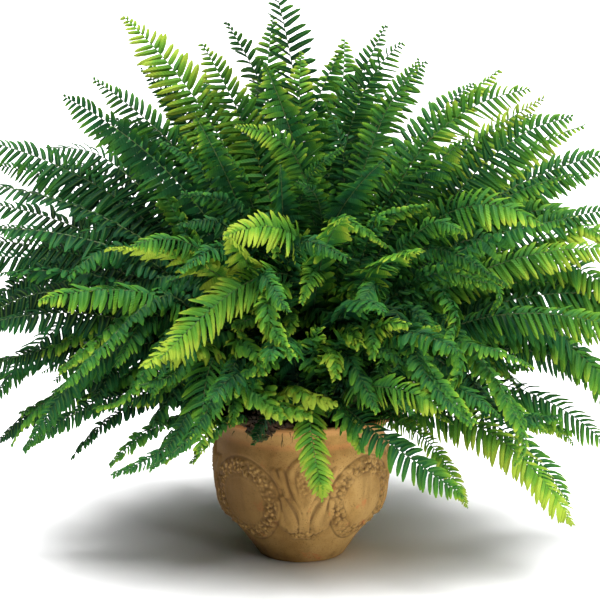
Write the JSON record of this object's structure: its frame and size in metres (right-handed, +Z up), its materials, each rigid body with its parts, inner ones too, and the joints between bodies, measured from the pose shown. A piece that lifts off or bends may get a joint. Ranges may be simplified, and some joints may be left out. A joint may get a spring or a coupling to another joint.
{
  "type": "potted fern",
  "caption": "Full sword fern with long arching, finely divided fronds in a round clay pot with raised medallions.",
  "frame": {"origin": "centre of the pot's flat foot, on the floor", "axes": "+Z up through the pot's middle, -Y the front that the picture shows, +X to its right"},
  "size_m": [0.6895, 0.6108, 0.5755],
  "materials": {
    "clay": "matte, unglazed, with brown patina",
    "compost": "rough, damp",
    "foliage": "satin leaf"
  },
  "bodies": {
    "root": {"pot": "clay", "soil": "compost", "crown_01": "foliage", "crown_02": "foliage", "crown_03": "foliage", "crown_04": "foliage", "crown_05": "foliage", "crown_06": "foliage", "crown_07": "foliage", "crown_08": "foliage", "crown_09": "foliage", "crown_10": "foliage", "crown_11": "foliage", "crown_12": "foliage", "crown_13": "foliage", "crown_14": "foliage", "crown_15": "foliage", "crown_16": "foliage", "crown_17": "foliage", "crown_18": "foliage", "crown_19": "foliage", "crown_20": "foliage", "crown_21": "foliage", "crown_22": "foliage", "crown_23": "foliage", "crown_24": "foliage", "crown_25": "foliage", "crown_26": "foliage", "crown_27": "foliage", "crown_28": "foliage", "crown_29": "foliage", "crown_30": "foliage", "crown_31": "foliage", "crown_32": "foliage", "crown_33": "foliage", "crown_34": "foliage", "crown_35": "foliage", "crown_36": "foliage", "crown_37": "foliage", "crown_38": "foliage", "crown_39": "foliage", "crown_40": "foliage", "crown_41": "foliage", "crown_42": "foliage", "crown_43": "foliage", "crown_44": "foliage", "crown_45": "foliage", "crown_46": "foliage", "crown_47": "foliage", "crown_48": "foliage", "crown_49": "foliage", "crown_50": "foliage", "crown_51": "foliage", "crown_52": "foliage"}
  },
  "joints": []
}
